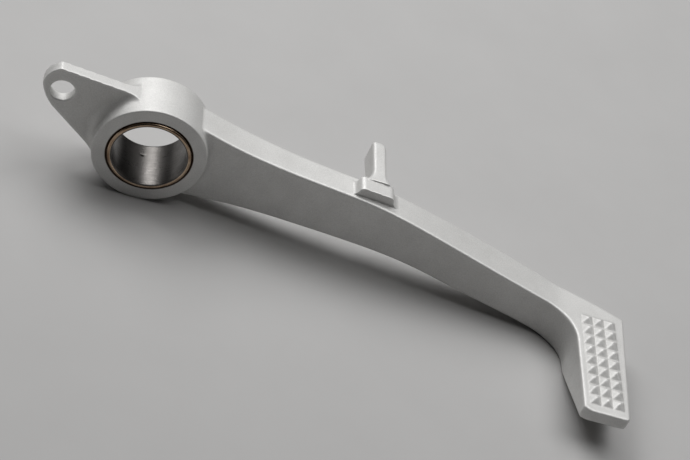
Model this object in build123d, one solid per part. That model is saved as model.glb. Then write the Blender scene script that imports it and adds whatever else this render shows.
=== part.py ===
from build123d import *
import math
import os

# A motorcycle rear brake pedal. All sizes are in millimetres.
# Origin: on the axis of the pivot bore, half way along the width of the eye. +X runs forward to the
# tread, +Y points inboard, towards the frame of the motorcycle, and +Z is up.

# ---- pivot eye and its bush, whose outer end stands proud of the eye to take the thrust washer ----
EYE_R = 19.15
EYE_WIDTH = 20.0
EYE_BACK_CHAMFER = 2.4
EYE_FRONT_EDGE_R = 0.4
BUSH_OUTER_R = 14.0
BUSH_INNER_R = 12.5
BUSH_FRONT_Y = -10.5
BUSH_BACK_Y = 9.75
BUSH_END_CHAMFER = 0.3
LINING_THICKNESS = 0.35
HOUSING_CHAMFER = 0.6

# ---- lug for the master cylinder's pushrod (X, Z) ----
LUG_FRONT_Y = -2.8
LUG_THICKNESS = 4.1
LUG_HOLE_R = 4.0
LUG_HOLE_CHAMFER = 0.3
LUG_HOLE = (-33.35, 10.4)
LUG_TOP_CORNER = (-36.0, 19.1)
LUG_TOP_BULGE = (-39.0, 16.2)
LUG_TIP = (-40.2, 11.3)
LUG_HEEL_BULGE = (-38.4, 7.5)
LUG_HEEL = (-34.6, 3.0)
LUG_LOWER_TANGENT = (-11.6, -14.4)
LUG_ROOT_X = -4.0
LUG_ROOT_Z = (-15.0, 16.8)
LUG_BLEND_R = 3.0

# ---- arm, seen from the side (X, Z) ----
ARM_TOP_CURVE = [(6.0, 15.2), (26.0, 11.3), (44.0, 9.7), (62.0, 9.35), (78.0, 8.8), (92.0, 6.8), (119.0, 1.3)]
ARM_TOP_JOIN = (145.0, -3.9)
ARM_BOTTOM_CURVE = [(6.0, -18.0), (22.0, -14.6), (38.0, -12.2), (56.0, -10.9), (74.0, -10.1),
                    (92.0, -10.3), (119.0, -14.1)]
ARM_BOTTOM_JOIN = (143.0, -17.8)
PAD_JOIN_X = 153.5

# ---- arm, seen from above (X, Y) ----
ARM_FRONT_START = (6.0, -4.8)
ARM_FRONT_SLOPE = -0.121
ARM_BACK_CURVE = [(6.0, 6.6), (36.0, 3.1), (64.0, -1.3), (90.0, -3.5), (118.0, -5.6), (150.0, -10.8),
                  (173.3, -19.0)]
BEND_R = 13.0
EYE_BLEND_R = 1.5
TOP_EDGE_R = 0.8
BOTTOM_EDGE_R = 1.2

# ---- tread pad ----
PAD_LEFT_X = 154.9
PAD_RIGHT_END_X = 171.5
PAD_OUTER_Y = -67.2
PAD_LEFT_CORNER = (3.6, 1.7)
PAD_RIGHT_CORNER_R = 1.5
PAD_TOP_Z = -4.6
PAD_END_THICKNESS = 4.7
PAD_BOTTOM_Z = -19.15
PAD_BOTTOM_SLOPE = 0.333
PAD_HEEL_R = 18.0
TREAD_COLUMNS = 3
TREAD_ROWS = 9
TREAD_PITCH_X = 4.25
TREAD_PITCH_Y = 4.69
TREAD_VALLEY = 0.12
TREAD_HEIGHT = 1.65
TREAD_FIRST = (156.9, -21.7)
TREAD_FLAT = 0.25

# ---- stop tab: a low block on the arm, and a finger that reaches inboard from it ----
BLOCK_X = (69.8, 82.2)
BLOCK_TOP_Z = (12.9, 12.0)
BLOCK_DEPTH = 6.5
BLOCK_FRONT_SETBACK = 2.4
BLOCK_FOOT_R = (2.6, 3.4)
BLOCK_CORNER_R = 1.9
ARM_TOP_AT_BLOCK = (9.1, 7.9)
FINGER_X = (74.2, 79.2)
FINGER_ROOT_Y = -5.4
FINGER_ROOT_X = (71.0, 80.8)
FINGER_FLARE_END_Y = (0.9, -0.8)
FINGER_TIP_Y = 15.4
FINGER_TIP_R = (0.9, 2.3)
FINGER_TOP_Z = 12.95
FINGER_BOTTOM_Z = 4.0
FINGER_UNDERSIDE_RISE = 1.2
FINGER_TOP_EDGE_R = 1.2
FINGER_BOTTOM_EDGE_R = 0.5

HALF_WIDTH = EYE_WIDTH / 2
SEAM_ANGLE = 250.0
FAR = 60.0
OVERLAP = 1.0
CLOSE = 0.05


def arm_front_y(x):
    """Outer side face of the arm, as a straight line in plan."""
    return ARM_FRONT_START[1] + ARM_FRONT_SLOPE * (x - ARM_FRONT_START[0])


def y_prism(face, y_from, y_to):
    """Extrude a face drawn in the XZ plane from y_from to y_to."""
    solid = extrude(face, amount=y_to - y_from, dir=(0, 1, 0))
    return Pos(0, y_from, 0) * solid


def xz(points):
    """Points drawn as (x, z), placed in the plane y = 0."""
    return [Vector(x, 0, z) for x, z in points]


def y_cylinder(radius, y_from, y_to, x=0.0, z=0.0):
    """A cylinder whose axis runs along Y."""
    body = Cylinder(radius, y_to - y_from)
    return Pos(x, (y_from + y_to) / 2, z) * (Rot(90, 0, SEAM_ANGLE) * body)


def middle(edge):
    """Middle point of an edge."""
    return edge @ 0.5


def is_straight_along(edge, axis_name):
    """Does the edge run parallel to the named axis?"""
    span = (edge @ 1) - (edge @ 0)
    other = [abs(value) for name, value in zip("XYZ", span) if name != axis_name]
    return edge.geom_type == GeomType.LINE and max(other) < CLOSE


def drilled(radius, chamfer_size, y_from, y_to):
    """Cutter for a hole along Y whose two rims at y_from and y_to are chamfered."""
    wide = radius + chamfer_size + OVERLAP
    profile = Polyline((0, y_from - OVERLAP), (wide, y_from - OVERLAP), (radius, y_from + chamfer_size),
                       (radius, y_to - chamfer_size), (wide, y_to + OVERLAP), (0, y_to + OVERLAP), close=True)
    return revolve(make_face(profile), axis=Axis.Y)


def eye():
    """Round barrel of the pivot with a softened outer rim."""
    barrel = y_cylinder(EYE_R, -HALF_WIDTH, HALF_WIDTH)
    front_rim = barrel.edges().filter_by(GeomType.CIRCLE).sort_by(Axis.Y)[0]
    return fillet(front_rim, EYE_FRONT_EDGE_R)


def back_rim_cutter():
    """Conical ring that bevels the inner rim of the eye."""
    inner = EYE_R - EYE_BACK_CHAMFER
    outer = EYE_R + OVERLAP
    profile = Polyline((inner, HALF_WIDTH), (outer, HALF_WIDTH - EYE_BACK_CHAMFER - OVERLAP),
                       (outer, HALF_WIDTH + OVERLAP), (inner, HALF_WIDTH + OVERLAP), close=True)
    return revolve(make_face(profile), axis=Axis.Y)


def arm_side_face():
    """Outline of the arm and the pad in the XZ plane. Both curves run level into the pad."""
    level = Vector(1, 0, 0)
    top_points = xz(ARM_TOP_CURVE + [ARM_TOP_JOIN, (PAD_JOIN_X, PAD_TOP_Z)])
    bottom_points = xz(ARM_BOTTOM_CURVE + [ARM_BOTTOM_JOIN, (PAD_JOIN_X, PAD_BOTTOM_Z)])
    top = Spline(top_points, tangents=(top_points[1] - top_points[0], level))
    bottom = Spline(bottom_points, tangents=(bottom_points[1] - bottom_points[0], level))
    beyond = PAD_JOIN_X + FAR
    pad = Polyline(xz([(PAD_JOIN_X, PAD_TOP_Z), (beyond, PAD_TOP_Z), (beyond, PAD_BOTTOM_Z),
                       (PAD_JOIN_X, PAD_BOTTOM_Z)]))
    root = Line(bottom_points[0], top_points[0])
    return make_face([top, pad, bottom, root])


def arm_plan_face():
    """Outline of the arm and the pad in the XY plane, with the round inner side of the bend."""
    corner_y = arm_front_y(PAD_LEFT_X)
    turn = math.radians(90) - math.atan(-ARM_FRONT_SLOPE)
    tangent = BEND_R * math.tan(turn / 2)
    bend_start_x = PAD_LEFT_X - tangent / math.hypot(1, ARM_FRONT_SLOPE)
    bend_start = (bend_start_x, arm_front_y(bend_start_x))
    bend_end = (PAD_LEFT_X, corner_y - tangent)
    corner_start = (PAD_LEFT_X, PAD_OUTER_Y + PAD_LEFT_CORNER[1])
    corner_end = (PAD_LEFT_X + PAD_LEFT_CORNER[0], PAD_OUTER_Y)
    front = Line(ARM_FRONT_START, bend_start)
    bend = TangentArc(bend_start, bend_end, tangent=(1, ARM_FRONT_SLOPE))
    left = Line(bend_end, corner_start)
    outer_corner = TangentArc(corner_end, corner_start, tangent=(-1, 0))
    sides = Polyline(corner_end, (PAD_RIGHT_END_X, PAD_OUTER_Y), ARM_BACK_CURVE[-1])
    back = Spline(list(reversed(ARM_BACK_CURVE)))
    root = Line(ARM_BACK_CURVE[0], ARM_FRONT_START)
    return make_face([front, bend, left, outer_corner, sides, back, root])


def pad_underside():
    """Wedge that is cut away below the pad, so that the pad thins towards its outer end."""
    end_z = PAD_TOP_Z - PAD_END_THICKNESS
    meet_y = PAD_OUTER_Y - (PAD_BOTTOM_Z - end_z) / PAD_BOTTOM_SLOPE
    beyond_y = PAD_OUTER_Y - OVERLAP
    below_z = PAD_BOTTOM_Z - OVERLAP
    points = [(meet_y, PAD_BOTTOM_Z), (beyond_y, end_z + OVERLAP * PAD_BOTTOM_SLOPE), (beyond_y, below_z),
              (meet_y, below_z)]
    section = make_face(Polyline([Vector(0, y, z) for y, z in points], close=True))
    wedge = extrude(section, amount=FAR, dir=(1, 0, 0))
    return Pos(PAD_LEFT_X - FAR / 2, 0, 0) * wedge


def rims(body, side):
    """Edges around the upper (side 1) or lower (side -1) skin of the arm, without the root's end."""
    skins = [face for face in body.faces() if face.normal_at(face.center()).Z * side > 0.85 and face.area > 5]
    edges = [edge for face in skins for edge in face.edges()]
    kept = []
    for edge in edges:
        twins = [other for other in edges if (middle(other) - middle(edge)).length < CLOSE]
        if len(twins) == 1 and middle(edge).X > ARM_FRONT_START[0] + OVERLAP:
            kept.append(edge)
    return ShapeList(kept)


def arm():
    """Arm and pad: the side outline and the plan outline, both carried through, with soft edges."""
    side = y_prism(arm_side_face(), -FAR * 2, FAR)
    plan = Pos(0, 0, -FAR) * extrude(arm_plan_face(), amount=2 * FAR, dir=(0, 0, 1))
    body = (side & plan) - pad_underside()
    upright = [edge for edge in body.edges() if is_straight_along(edge, "Z")]
    right_corners = [edge for edge in upright if middle(edge).X > PAD_RIGHT_END_X - CLOSE]
    body = fillet(ShapeList(right_corners), PAD_RIGHT_CORNER_R)
    across = [edge for edge in body.edges() if is_straight_along(edge, "X")]
    heel = [edge for edge in across if abs(middle(edge).Z - PAD_BOTTOM_Z) < CLOSE]
    body = fillet(ShapeList(heel), PAD_HEEL_R)
    body = fillet(rims(body, 1), TOP_EDGE_R)
    return fillet(rims(body, -1), BOTTOM_EDGE_R)


def edges_on_barrel(body, keep):
    """Edges that lie on the eye's round surface and whose middle passes the keep test."""
    found = []
    for edge in body.edges():
        reach = [math.hypot((edge @ t).X, (edge @ t).Z) for t in (0.2, 0.5, 0.8)]
        if max(abs(r - EYE_R) for r in reach) < CLOSE and keep(middle(edge)):
            found.append(edge)
    return ShapeList(found)


def lug():
    """Flat plate that runs out tangent to the eye, with a rounded tip around its hole."""
    corner, top_bulge, tip, heel_bulge, heel = xz([LUG_TOP_CORNER, LUG_TOP_BULGE, LUG_TIP, LUG_HEEL_BULGE,
                                                   LUG_HEEL])
    upper = ThreePointArc(corner, top_bulge, tip)
    lower = ThreePointArc(tip, heel_bulge, heel)
    root_points = xz([LUG_LOWER_TANGENT, (LUG_ROOT_X, LUG_ROOT_Z[0]), (LUG_ROOT_X, LUG_ROOT_Z[1])])
    rest = Polyline(heel, *root_points, corner)
    plate = y_prism(make_face([upper, lower, rest]), LUG_FRONT_Y, LUG_FRONT_Y + LUG_THICKNESS)
    return plate


def block():
    """Low block across the arm, with a concave foot at each end."""
    x0, x1 = BLOCK_X
    z0, z1 = BLOCK_TOP_Z
    left_foot = (x0 - BLOCK_FOOT_R[0], ARM_TOP_AT_BLOCK[0])
    right_foot = (x1 + BLOCK_FOOT_R[1], ARM_TOP_AT_BLOCK[1])
    base_z = ARM_TOP_AT_BLOCK[1] - OVERLAP
    a, b, c, d, e, f, g, h = xz([left_foot, (x0, left_foot[1] + BLOCK_FOOT_R[0]), (x0, z0), (x1, z1),
                                 (x1, right_foot[1] + BLOCK_FOOT_R[1]), right_foot,
                                 (right_foot[0], base_z), (left_foot[0], base_z)])
    level = Vector(1, 0, 0)
    left_arc = TangentArc(a, b, tangent=level)
    right_arc = TangentArc(f, e, tangent=-level)
    top = Polyline(b, c, d, e)
    base = Polyline(f, g, h, a)
    front_y = arm_front_y((x0 + x1) / 2) + BLOCK_FRONT_SETBACK
    body = y_prism(make_face([left_arc, top, right_arc, base]), front_y, front_y + BLOCK_DEPTH)
    lengthwise = [edge for edge in body.edges() if is_straight_along(edge, "Y")]
    ridges = [edge for edge in lengthwise if middle(edge).Z > min(BLOCK_TOP_Z) - CLOSE]
    return fillet(ShapeList(ridges), BLOCK_CORNER_R)


def finger():
    """Flat finger that grows out of the block with a flare on each side and ends in a rounded tip."""
    x0, x1 = FINGER_X
    root0, root1 = FINGER_ROOT_X
    straight0 = (x0, FINGER_FLARE_END_Y[0])
    straight1 = (x1, FINGER_FLARE_END_Y[1])
    left_flare = TangentArc(straight0, (root0, FINGER_ROOT_Y), tangent=(0, -1))
    right_flare = TangentArc(straight1, (root1, FINGER_ROOT_Y), tangent=(0, -1))
    sides = Polyline(straight0, (x0, FINGER_TIP_Y), (x1, FINGER_TIP_Y), straight1)
    root = Line((root0, FINGER_ROOT_Y), (root1, FINGER_ROOT_Y))
    plan = make_face([left_flare, sides, right_flare, root])
    body = Pos(0, 0, FINGER_BOTTOM_Z - OVERLAP) * extrude(plan, amount=FAR, dir=(0, 0, 1))
    before_y = FINGER_ROOT_Y - OVERLAP
    after_y = FINGER_TIP_Y + OVERLAP
    points = [(before_y, FINGER_BOTTOM_Z + FINGER_UNDERSIDE_RISE), (after_y, FINGER_BOTTOM_Z),
              (after_y, FINGER_TOP_Z), (before_y, FINGER_TOP_Z)]
    section = make_face(Polyline([Vector(0, y, z) for y, z in points], close=True))
    body = body & extrude(section, amount=FAR * 2, dir=(1, 0, 0))
    for x, radius in zip(FINGER_X, FINGER_TIP_R):
        upright = [edge for edge in body.edges() if is_straight_along(edge, "Z")]
        tip = [edge for edge in upright if middle(edge).Y > FINGER_TIP_Y - CLOSE]
        corner = [edge for edge in tip if abs(middle(edge).X - x) < CLOSE]
        body = fillet(ShapeList(corner), radius)
    free = [edge for edge in body.edges() if middle(edge).Y > FINGER_ROOT_Y + OVERLAP]
    top = [edge for edge in free if middle(edge).Z > FINGER_TOP_Z - CLOSE]
    body = fillet(ShapeList(top), FINGER_TOP_EDGE_R)
    free = [edge for edge in body.edges() if middle(edge).Y > FINGER_ROOT_Y + OVERLAP]
    low_z = FINGER_BOTTOM_Z + FINGER_UNDERSIDE_RISE + CLOSE
    bottom = [edge for edge in free if middle(edge).Z < low_z]
    return fillet(ShapeList(bottom), FINGER_BOTTOM_EDGE_R)


def tread():
    """Rows of small pyramids that stand on the pad, valley to valley."""
    base_x = TREAD_PITCH_X - TREAD_VALLEY
    base_y = TREAD_PITCH_Y - TREAD_VALLEY
    studs = []
    for column in range(TREAD_COLUMNS):
        for row in range(TREAD_ROWS):
            x = TREAD_FIRST[0] + (column + 0.5) * TREAD_PITCH_X
            y = TREAD_FIRST[1] - (row + 0.5) * TREAD_PITCH_Y
            foot = Pos(x, y, PAD_TOP_Z - CLOSE) * Rectangle(base_x, base_y)
            tip = Pos(x, y, PAD_TOP_Z + TREAD_HEIGHT) * Rectangle(TREAD_FLAT, TREAD_FLAT)
            studs.append(loft([foot, tip]))
    return studs


def lever():
    """The whole casting, machined: one piece of aluminium."""
    body = eye() + arm()
    arm_seam = edges_on_barrel(body, lambda point: point.X > 0 and abs(point.Y) < HALF_WIDTH - OVERLAP)
    body = fillet(arm_seam, EYE_BLEND_R)
    body = body + lug()
    lug_seam = edges_on_barrel(body, lambda point: point.X < 0 and abs(point.Y) < HALF_WIDTH - OVERLAP)
    body = fillet(lug_seam.filter_by(GeomType.CIRCLE), LUG_BLEND_R)
    body = body - back_rim_cutter()
    body = body + block() + finger()
    body = body + tread()
    body = body - drilled(BUSH_OUTER_R, HOUSING_CHAMFER, -HALF_WIDTH, HALF_WIDTH)
    lug_hole = drilled(LUG_HOLE_R, LUG_HOLE_CHAMFER, LUG_FRONT_Y, LUG_FRONT_Y + LUG_THICKNESS)
    return body - Pos(LUG_HOLE[0], 0, LUG_HOLE[1]) * lug_hole


def backing():
    """Metal back of the wrapped bush. Its outer rims are bevelled so that it presses in squarely."""
    outside = y_cylinder(BUSH_OUTER_R, BUSH_FRONT_Y, BUSH_BACK_Y)
    ends = outside.edges().filter_by(GeomType.CIRCLE)
    outside = chamfer(ends, BUSH_END_CHAMFER)
    return outside - y_cylinder(BUSH_INNER_R + LINING_THICKNESS, BUSH_FRONT_Y, BUSH_BACK_Y)


def lining():
    """Thin sliding layer inside the bush. Its bore runs on the pivot shaft."""
    outside = y_cylinder(BUSH_INNER_R + LINING_THICKNESS, BUSH_FRONT_Y, BUSH_BACK_Y)
    return outside - drilled(BUSH_INNER_R, LINING_THICKNESS - CLOSE, BUSH_FRONT_Y, BUSH_BACK_Y)


os.makedirs("parts", exist_ok=True)
export_step(lever(), "parts/pedal_lever.step")
export_step(backing(), "parts/bush_backing.step")
export_step(lining(), "parts/bush_lining.step")
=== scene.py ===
import math

import bmesh
import bpy
import numpy as np
from mathutils import Matrix, Vector
from mathutils.bvhtree import BVHTree


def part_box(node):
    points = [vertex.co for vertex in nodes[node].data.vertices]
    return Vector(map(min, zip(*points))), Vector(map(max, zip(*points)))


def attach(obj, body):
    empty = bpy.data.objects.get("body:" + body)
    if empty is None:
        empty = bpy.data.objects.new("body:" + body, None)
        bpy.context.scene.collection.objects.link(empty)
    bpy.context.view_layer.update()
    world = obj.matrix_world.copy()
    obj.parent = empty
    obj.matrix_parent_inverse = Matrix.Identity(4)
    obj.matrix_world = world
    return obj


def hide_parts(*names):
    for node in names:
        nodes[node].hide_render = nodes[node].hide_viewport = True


# A bare rear brake pedal lying on pale paper. Blender's units are metres. The shapes are worked
# out in millimetres, and are brought to metres as each mesh is made.
MM = 0.001

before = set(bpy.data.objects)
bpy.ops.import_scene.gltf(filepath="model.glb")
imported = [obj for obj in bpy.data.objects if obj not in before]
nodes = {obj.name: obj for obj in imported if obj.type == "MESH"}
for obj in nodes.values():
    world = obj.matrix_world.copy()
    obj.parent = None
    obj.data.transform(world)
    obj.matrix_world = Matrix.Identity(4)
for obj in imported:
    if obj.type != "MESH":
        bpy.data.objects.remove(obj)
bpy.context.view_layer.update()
bush_low, bush_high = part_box("bush_backing")
lining_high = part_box("bush_lining")[1]
lever_low, lever_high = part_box("pedal_lever")

# ------------------------------------------------------------------ driving sizes, mm
WALL = 1.5                      # the whole bush's, backing and lining
bush_outer = bush_high.x / MM
bush_front = bush_low.y / MM
bush_back = bush_high.y / MM
lining_outer = lining_high.x / MM
bore_r = bush_outer - WALL
eye_r = -lever_low.z / MM       # the eye is the lowest part of the lever


# ------------------------------------------------------------------ node helpers
class Graph:
    """Short calls for building one material's nodes."""

    def __init__(self, name):
        self.material = bpy.data.materials.new(name)
        self.material.use_nodes = True
        self.tree = self.material.node_tree
        self.tree.nodes.clear()
        out = self.add("ShaderNodeOutputMaterial")
        self.shader = self.add("ShaderNodeBsdfPrincipled")
        self.link(self.shader.outputs["BSDF"], out.inputs["Surface"])
        self.coords = self.add("ShaderNodeTexCoord").outputs["Object"]

    def add(self, kind, **values):
        node = self.tree.nodes.new(kind)
        for name, value in values.items():
            setattr(node, name, value)
        return node

    def link(self, source, target):
        self.tree.links.new(source, target)

    def set(self, name, value):
        self.shader.inputs[name].default_value = value

    def feed(self, name, source):
        self.link(source, self.shader.inputs[name])

    def attribute(self, name):
        return self.add("ShaderNodeAttribute", attribute_name=name).outputs["Fac"]

    def xyz(self):
        """The object coordinates' x, y and z, in metres."""
        split = self.add("ShaderNodeSeparateXYZ")
        self.link(self.coords, split.inputs[0])
        return split.outputs[0], split.outputs[1], split.outputs[2]

    def noise(self, per_metre, detail, roughness, vector=None):
        node = self.add("ShaderNodeTexNoise")
        node.inputs["Scale"].default_value = per_metre
        node.inputs["Detail"].default_value = detail
        node.inputs["Roughness"].default_value = roughness
        self.link(vector or self.coords, node.inputs["Vector"])
        return node.outputs["Fac"]

    def remap(self, source, span, onto=(0.0, 1.0)):
        """Move a span of values onto another, and hold them at its ends."""
        node = self.add("ShaderNodeMapRange")
        for name, value in zip(("From Min", "From Max", "To Min", "To Max"), (*span, *onto)):
            node.inputs[name].default_value = value
        self.link(source, node.inputs["Value"])
        return node.outputs["Result"]

    def math(self, operation, a, b):
        node = self.add("ShaderNodeMath", operation=operation)
        for socket, value in zip(node.inputs, (a, b)):
            if isinstance(value, (int, float)):
                socket.default_value = value
            else:
                self.link(value, socket)
        return node.outputs["Value"]

    def blend(self, *parts):
        """Sum of sources, each times its share."""
        total = None
        for source, share in parts:
            part = self.math("MULTIPLY", source, share)
            total = part if total is None else self.math("ADD", total, part)
        return total

    def mix_colour(self, factor, a, b):
        node = self.add("ShaderNodeMix", data_type="RGBA")
        self.link(factor, node.inputs["Factor"])
        for socket, value in zip((node.inputs[6], node.inputs[7]), (a, b)):
            if isinstance(value, tuple):
                socket.default_value = value
            else:
                self.link(value, socket)
        return node.outputs[2]

    def bump(self, height, distance, strength, below=None):
        node = self.add("ShaderNodeBump")
        node.inputs["Strength"].default_value = strength
        node.inputs["Distance"].default_value = distance
        self.link(height, node.inputs["Height"])
        if below is not None:
            self.link(below, node.inputs["Normal"])
        return node.outputs["Normal"]

    def axle_radius(self):
        """Distance from the pivot's axis, in metres."""
        x, _, z = self.xyz()
        squares = self.math("ADD", self.math("MULTIPLY", x, x), self.math("MULTIPLY", z, z))
        return self.math("SQRT", squares, 0.0)


# ------------------------------------------------------------------ materials
ROUGHNESS_TONES = (0.3, 0.7)    # the tones that a material's roughness runs between

CAST_DARK = (0.60, 0.595, 0.58, 1.0)
CAST_LIGHT = (0.74, 0.735, 0.72, 1.0)
CAST_WORN = (0.84, 0.835, 0.82, 1.0)
# painted shade: the colour laid into hollows and creases, where shade falls
CAST_RECESS_SHADE = (0.30, 0.295, 0.285, 1.0)
CAST_TONES = (0.36, 0.64)
CAST_ROUGHNESS = (0.58, 0.46)
CAST_METALLIC = 0.35            # silver lacquer, so only partly a metal
EDGE_WEAR = 0.5
WORN_SMOOTHER = 0.08
RECESS_SHADE_SHARE = 0.35
GRAIN_BUMP = 0.11 * MM
FINE_BUMP = 0.04 * MM

# The dark ring round the bush's seat starts and is full this far outside the bush, mm.
SEAT_DARK_RING = (0.045, 0.022, 0.012, 1.0)
DARK_RING_STARTS = 0.72
DARK_RING_FULL = 0.5

COPPER = ((0.22, 0.14, 0.09, 1.0), (0.66, 0.52, 0.38, 1.0))
STEEL = ((0.10, 0.095, 0.09, 1.0), (0.16, 0.152, 0.145, 1.0))
TURNED_TONES = (0.35, 0.65)
RING_BUMP = 0.02 * MM
DENT_DARK = (0.012, 0.011, 0.01, 1.0)
DENT_SPAN = (0.15, 0.7)

PAPER = ((0.47, 0.465, 0.46, 1.0), (0.51, 0.505, 0.50, 1.0))
PAPER_ROUGHNESS = (0.75, 0.85)
PAPER_SPECULAR = 0.25


def cast_material():
    """Blasted, silver-lacquered cast aluminium: grain, faint mottling, worn edges, painted shade
    darkening its hollows and creases, and a dark ring round the bush's seat."""
    g = Graph("cast_aluminium")
    grain = g.noise(per_metre=2600.0, detail=2.0, roughness=0.6)
    fine = g.noise(per_metre=5200.0, detail=1.0, roughness=0.5)
    mottle = g.noise(per_metre=120.0, detail=3.0, roughness=0.6)
    cloud = g.noise(per_metre=22.0, detail=2.0, roughness=0.5)
    wear = g.attribute("wear")
    recess = g.attribute("recess")
    tone = g.blend((grain, 0.5), (mottle, 0.3), (cloud, 0.2))
    body = g.mix_colour(g.remap(tone, CAST_TONES), CAST_DARK, CAST_LIGHT)
    body = g.mix_colour(g.math("MULTIPLY", wear, EDGE_WEAR), body, CAST_WORN)
    # painted shade: the recess mask darkens hollows, creases and pockets, where shade falls
    body = g.mix_colour(g.math("MULTIPLY", recess, RECESS_SHADE_SHARE), body, CAST_RECESS_SHADE)
    ring_span = ((bush_outer + DARK_RING_STARTS) * MM, (bush_outer + DARK_RING_FULL) * MM)
    seat = g.remap(g.axle_radius(), ring_span)
    g.feed("Base Color", g.mix_colour(seat, body, SEAT_DARK_RING))
    g.set("Metallic", CAST_METALLIC)
    rough = g.remap(tone, ROUGHNESS_TONES, CAST_ROUGHNESS)
    g.feed("Roughness", g.math("SUBTRACT", rough, g.math("MULTIPLY", wear, WORN_SMOOTHER)))
    coarse = g.bump(grain, GRAIN_BUMP, strength=0.7)
    g.feed("Normal", g.bump(fine, FINE_BUMP, strength=0.4, below=coarse))
    return g.material


def turned_material(name, colours, roughness, rings_per_metre, anisotropy):
    """Turned or honed metal: fine rings round the pivot's axis, streaky colour, a dark mark in
    dents.
    """
    g = Graph(name)
    path = g.add("ShaderNodeCombineXYZ")
    g.link(g.math("MULTIPLY", g.axle_radius(), rings_per_metre), path.inputs[0])
    g.link(g.math("MULTIPLY", g.xyz()[1], rings_per_metre), path.inputs[1])
    rings = g.noise(per_metre=1.0, detail=3.0, roughness=0.6, vector=path.outputs[0])
    patches = g.noise(per_metre=260.0, detail=3.0, roughness=0.6)
    tone = g.blend((rings, 0.6), (patches, 0.4))
    body = g.mix_colour(g.remap(tone, TURNED_TONES), *colours)
    # the nick is coloured near black
    dent_dark_mask = g.remap(g.attribute("recess"), DENT_SPAN)
    g.feed("Base Color", g.mix_colour(dent_dark_mask, body, DENT_DARK))
    g.set("Metallic", 1.0)
    g.set("Anisotropic", anisotropy)
    tangent = g.add("ShaderNodeTangent", direction_type="RADIAL", axis="Y")
    g.feed("Tangent", tangent.outputs["Tangent"])
    g.feed("Roughness", g.remap(tone, ROUGHNESS_TONES, roughness))
    g.feed("Normal", g.bump(rings, RING_BUMP, strength=0.6))
    return g.material


def floor_material():
    """Pale matt paper."""
    g = Graph("pale_floor")
    soft = g.noise(per_metre=30.0, detail=3.0, roughness=0.6)
    g.feed("Base Color", g.mix_colour(soft, *PAPER))
    g.feed("Roughness", g.remap(soft, ROUGHNESS_TONES, PAPER_ROUGHNESS))
    g.set("Specular IOR Level", PAPER_SPECULAR)
    return g.material


# ------------------------------------------------------------------ mesh helpers
def put(mesh, name, node, material):
    """Make a mesh the visible piece that stands for a CAD node."""
    mesh.materials.clear()
    mesh.materials.append(material)
    piece = bpy.data.objects.new(name, mesh)
    bpy.context.scene.collection.objects.link(piece)
    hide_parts(node)
    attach(piece, "root")


def read(items, name, width, kind=float):
    """One property of all of a mesh's items, a row each."""
    values = np.empty(len(items) * width, kind)
    items.foreach_get(name, values)
    return values.reshape(-1, width)


def paint(mesh, name, values):
    """Give each vertex a number that a material reads."""
    mesh.attributes.new(name, "FLOAT", "POINT").data.foreach_set("value", values)


def shade_smooth(mesh):
    for polygon in mesh.polygons:
        polygon.use_smooth = True


def unit(vectors):
    return vectors / np.maximum(np.linalg.norm(vectors, axis=1), 1e-12)[:, None]


def dots(a, b):
    """Dot product of each row of a with the same row of b."""
    return (a * b).sum(1)


def neighbour_mean(values, edges):
    """Mean of each vertex's neighbours, where values has a row for each vertex."""
    count = len(values)
    degree = np.bincount(edges.ravel(), minlength=count)
    total = np.zeros_like(values)
    for column in range(values.shape[1]):
        for here, there in ((0, 1), (1, 0)):
            weights = values[edges[:, there], column]
            total[:, column] += np.bincount(edges[:, here], weights=weights, minlength=count)
    return total / np.maximum(degree, 1)[:, None]


# ------------------------------------------------------------------ the casting's skin, mm
VOXEL = 0.3
WELD = 1e-4
CURVE_SHARE = 0.75              # how far a point moves from its CAD facet to the true curve
PLACE_ROUNDS = 2
PLACE_SHARE = 0.5
NORMAL_ROUNDS = 3
BROAD_ROUNDS = 8                # smoothing that leaves the broad form without its edges
FULL_WEAR = 0.16                # height over the broad form
FULL_RECESS = 0.2               # depth under it
MACHINED_MARGIN = 0.3           # the turned eye's wear is cut down this far outside its round
MACHINED_WEAR = 0.15


def cad_surface(node):
    """Triangle corners and corner normals of a CAD node, in millimetres."""
    mesh = nodes[node].data
    mesh.calc_loop_triangles()
    loops = read(mesh.loop_triangles, "loops", 3, np.int64)
    corners = read(mesh.loops, "vertex_index", 1, np.int64)[:, 0]
    places = read(mesh.vertices, "co", 3) / MM
    normals = read(mesh.corner_normals, "vector", 3)
    return places[corners[loops]], normals[loops]


def even_skin(node):
    """Closed, evenly meshed copy of a CAD node, in millimetres."""
    work = bmesh.new()
    work.from_mesh(nodes[node].data)
    bmesh.ops.scale(work, vec=(1 / MM,) * 3, verts=work.verts)
    bmesh.ops.remove_doubles(work, verts=work.verts, dist=WELD)
    mesh = bpy.data.meshes.new("skin")
    work.to_mesh(mesh)
    work.free()
    holder = bpy.data.objects.new("skin", mesh)
    bpy.context.scene.collection.objects.link(holder)
    remesh = holder.modifiers.new("remesh", "REMESH")
    remesh.mode = "VOXEL"
    remesh.voxel_size = VOXEL
    evaluated = holder.evaluated_get(bpy.context.evaluated_depsgraph_get())
    result = bpy.data.meshes.new_from_object(evaluated)
    bpy.data.objects.remove(holder)
    bpy.data.meshes.remove(mesh)
    return result


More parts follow.
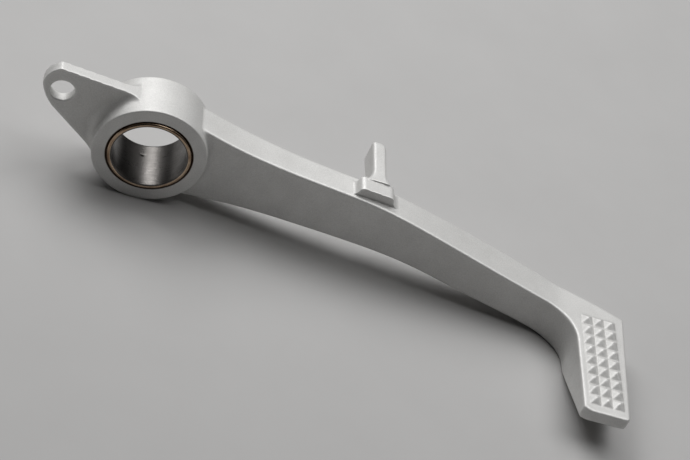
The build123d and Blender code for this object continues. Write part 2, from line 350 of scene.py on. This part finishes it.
def on_cad(node, places):
    """Nearest points and normals on the curved surface that a CAD node's facets stand for."""
    triangles, corner_normals = cad_surface(node)
    tree = BVHTree.FromPolygons([tuple(p) for p in triangles.reshape(-1, 3)],
                                np.arange(len(triangles) * 3).reshape(-1, 3).tolist())
    near = np.empty_like(places)
    which = np.empty(len(places), np.int64)
    for i, place in enumerate(places.tolist()):
        near[i], _, which[i], _ = tree.find_nearest(place)

    # The share of a triangle's three corners in each nearest point.
    a, b, c = (triangles[which, k] for k in range(3))
    whole = np.cross(b - a, c - a)
    area2 = np.maximum(dots(whole, whole), 1e-12)
    share_a = dots(np.cross(b - near, c - near), whole) / area2
    share_b = dots(np.cross(c - near, a - near), whole) / area2
    shares = np.stack([share_a, share_b, 1 - share_a - share_b], 1).clip(0, 1)
    shares /= shares.sum(1)[:, None]

    # The planes through the corners, square to their normals, say how the surface curves.
    corner = corner_normals[which]
    curved = np.zeros_like(near)
    for k in range(3):
        step = dots(near - triangles[which, k], corner[:, k])
        curved += shares[:, k, None] * (near - step[:, None] * corner[:, k])
    normals = unit((corner * shares[:, :, None]).sum(1))
    return near + CURVE_SHARE * (curved - near), normals


def cast_skin(node):
    """The casting's skin: true curves from the CAD normals, and every sharp edge worn round."""
    mesh = even_skin(node)
    places, normals = on_cad(node, read(mesh.vertices, "co", 3))
    edges = read(mesh.edges, "vertices", 2, np.int64)
    for _ in range(PLACE_ROUNDS):
        places += PLACE_SHARE * (neighbour_mean(places, edges) - places)
    for _ in range(NORMAL_ROUNDS):
        normals = unit(normals + neighbour_mean(normals, edges))

    broad = places
    for _ in range(BROAD_ROUNDS):
        broad = neighbour_mean(broad, edges)
    bulge = dots(places - broad, normals)[:, None]
    bulge = neighbour_mean(bulge, edges)[:, 0]
    places = places.clip(np.array(lever_low) / MM, np.array(lever_high) / MM)
    mesh.vertices.foreach_set("co", (places * MM).ravel())

    machined = np.hypot(places[:, 0], places[:, 2]) < eye_r + MACHINED_MARGIN
    paint(mesh, "wear", (bulge / FULL_WEAR).clip(0, 1) * np.where(machined, MACHINED_WEAR, 1.0))
    # the recess mask, which the cast material turns into painted shade in hollows
    paint(mesh, "recess", (-bulge / FULL_RECESS).clip(0, 1))
    shade_smooth(mesh)
    mesh.update()
    mesh.normals_split_custom_set_from_vertices(normals.tolist())
    return mesh


# ------------------------------------------------------------------ the bush's two rings, mm
SEGMENTS = 240
SHARP_DEG = 40
LINING_SET_BACK = 0.16          # the lining's ends, in from the metal back's
LINING_ROWS = 64
LIP_LENGTH = 0.3

# The metal back's rounded end, from its outside: (in from the outside, in from the end).
BACK_ROUND = ((0.0, 0.75), (0.06, 0.45), (0.2, 0.22), (0.42, 0.07), (0.7, 0.0), (0.95, 0.04))

# The lining's eased lip, from its end: (out from the bore, in from the end).
LINING_LIP = ((0.16, 0.03), (0.04, 0.12))

# The nick is a short curved mark pressed into the bore.
NICK_TURN = math.radians(274.0)
NICK_HALF_TURN = math.radians(5.0)
NICK_Y = 4.25
NICK_HALF_Y = 0.55
NICK_DEPTH = 0.12
NICK_BOW = 1.2                  # how far its ends bend along the bore, in NICK_HALF_Y
NICK_FALL = 2.0                 # how steep its sides are


def nick_at(turns, y):
    """How much of the nick's full depth there is at each turn round the bore, at one y."""
    across = (turns - NICK_TURN) / NICK_HALF_TURN
    middle = NICK_Y + NICK_HALF_Y * NICK_BOW * across ** 2
    return np.exp(-NICK_FALL * (across ** 2 + ((y - middle) / NICK_HALF_Y) ** 2))


def lathe(name, profile, nicked=False):
    """Closed ring turned about the pivot's axis from (radius, y) points in millimetres."""
    count = len(profile)
    turns = np.arange(SEGMENTS) * (2 * math.pi / SEGMENTS)
    points = np.empty((SEGMENTS, count, 3))
    recess = np.zeros((SEGMENTS, count))
    for j, (radius, y) in enumerate(profile):
        if nicked and radius == bore_r:
            recess[:, j] = nick_at(turns, y)
        reach = radius + NICK_DEPTH * recess[:, j]
        points[:, j, 0] = reach * np.cos(turns)
        points[:, j, 1] = y
        points[:, j, 2] = reach * np.sin(turns)
    faces = []
    for i in range(SEGMENTS):
        k = (i + 1) % SEGMENTS
        for j in range(count):
            m = (j + 1) % count
            faces.append((i * count + j, i * count + m, k * count + m, k * count + j))
    mesh = bpy.data.meshes.new(name)
    mesh.from_pydata((points.reshape(-1, 3) * MM).tolist(), [], faces)
    work = bmesh.new()
    work.from_mesh(mesh)
    bmesh.ops.recalc_face_normals(work, faces=work.faces)
    work.to_mesh(mesh)
    work.free()
    paint(mesh, "recess", recess.ravel())
    shade_smooth(mesh)
    mesh.set_sharp_from_angle(angle=math.radians(SHARP_DEG))
    return mesh


def backing_profile():
    """The bush's metal back, with rounded ends. The front one stands a little proud."""
    points = []
    for side, end in ((-1, -bush_front), (1, bush_back)):
        rim = [(bush_outer - inward, side * (end - drop)) for inward, drop in BACK_ROUND]
        rim.append((lining_outer, side * (end - LINING_SET_BACK)))
        points += rim if side > 0 else rim[::-1]
    return points


def lining_profile():
    """The sliding layer: a thin sleeve with eased lips, divided finely along its bore."""
    front = bush_front + LINING_SET_BACK
    back = bush_back - LINING_SET_BACK
    near = [(bore_r + out, front + inward) for out, inward in LINING_LIP]
    far = [(bore_r + out, back - inward) for out, inward in LINING_LIP[::-1]]
    rows = np.linspace(front + LIP_LENGTH, back - LIP_LENGTH, LINING_ROWS)
    bore = [(bore_r, y) for y in rows]
    return [(lining_outer, front)] + near + bore + far + [(lining_outer, back)]


# ------------------------------------------------------------------ pieces
put(cast_skin("pedal_lever"), "lever", "pedal_lever", cast_material())

copper = turned_material("bush_copper", COPPER, roughness=(0.28, 0.16),
                         rings_per_metre=9000.0, anisotropy=0.85)
put(lathe("backing", backing_profile()), "bush_back", "bush_backing", copper)

steel = turned_material("bush_steel", STEEL, roughness=(0.36, 0.24),
                        rings_per_metre=7000.0, anisotropy=0.5)
bore = lathe("lining", lining_profile(), nicked=True)
put(bore, "bush_bore", "bush_lining", steel)


# ------------------------------------------------------------------ floor and lights, metres
FLOOR_SIZE = 3.0
FLOOR_CELLS = 8
FLOOR_CENTRE = (0.06, 0.3)
LIT_POINT = (0.06, -0.01, 0.0)
WORLD_COLOUR = (1.0, 1.0, 1.0, 1.0)
WORLD_STRENGTH = 0.015

bpy.ops.mesh.primitive_grid_add(x_subdivisions=FLOOR_CELLS, y_subdivisions=FLOOR_CELLS,
                                size=FLOOR_SIZE, location=(*FLOOR_CENTRE, lever_low.z))
floor = bpy.context.object
floor.name = "floor"
floor.data.materials.append(floor_material())


def area(name, place, width, height, power):
    """A rectangular lamp aimed at the pedal, in metres and watts."""
    light = bpy.data.lights.new(name, "AREA")
    light.shape = "RECTANGLE"
    light.size = width
    light.size_y = height
    light.energy = power
    lamp = bpy.data.objects.new(name, light)
    bpy.context.scene.collection.objects.link(lamp)
    lamp.location = place
    aim = Vector(LIT_POINT) - Vector(place)
    lamp.rotation_euler = aim.to_track_quat("-Z", "Y").to_euler()


area("key", (-0.34, 0.52, 0.70), width=0.7, height=0.5, power=5.8)
area("top", (0.35, 0.2, 1.0), width=0.9, height=0.9, power=7.2)

world = bpy.data.worlds.new("studio")
bpy.context.scene.world = world
world.use_nodes = True
background = world.node_tree.nodes["Background"]
background.inputs["Color"].default_value = WORLD_COLOUR
background.inputs["Strength"].default_value = WORLD_STRENGTH


# ------------------------------------------------------------------ camera
# Its place, in metres, and the directions it faces are matched to the photograph.
CAMERA_PLACE = (-0.126476, -0.610948, 0.506598)
CAMERA_RIGHT = (0.93297, 0.000165, 0.35994)
CAMERA_DOWN = (0.26540, -0.67585, -0.68760)
CAMERA_AHEAD = (0.24315, 0.73704, -0.63059)
LENS_MM = 126.19
SENSOR_MM = 36.0
CLIP_NEAR = 0.01
CLIP_FAR = 20.0

lens = bpy.data.cameras.new("camera")
lens.lens = LENS_MM
lens.sensor_width = SENSOR_MM
lens.clip_start = CLIP_NEAR
lens.clip_end = CLIP_FAR
camera = bpy.data.objects.new("camera", lens)
bpy.context.scene.collection.objects.link(camera)
axes = Matrix((Vector(CAMERA_RIGHT), -Vector(CAMERA_DOWN), -Vector(CAMERA_AHEAD)))
camera.matrix_world = Matrix.Translation(CAMERA_PLACE) @ axes.transposed().to_4x4()
bpy.context.scene.camera = camera

scene = bpy.context.scene
scene.view_settings.view_transform = "Standard"
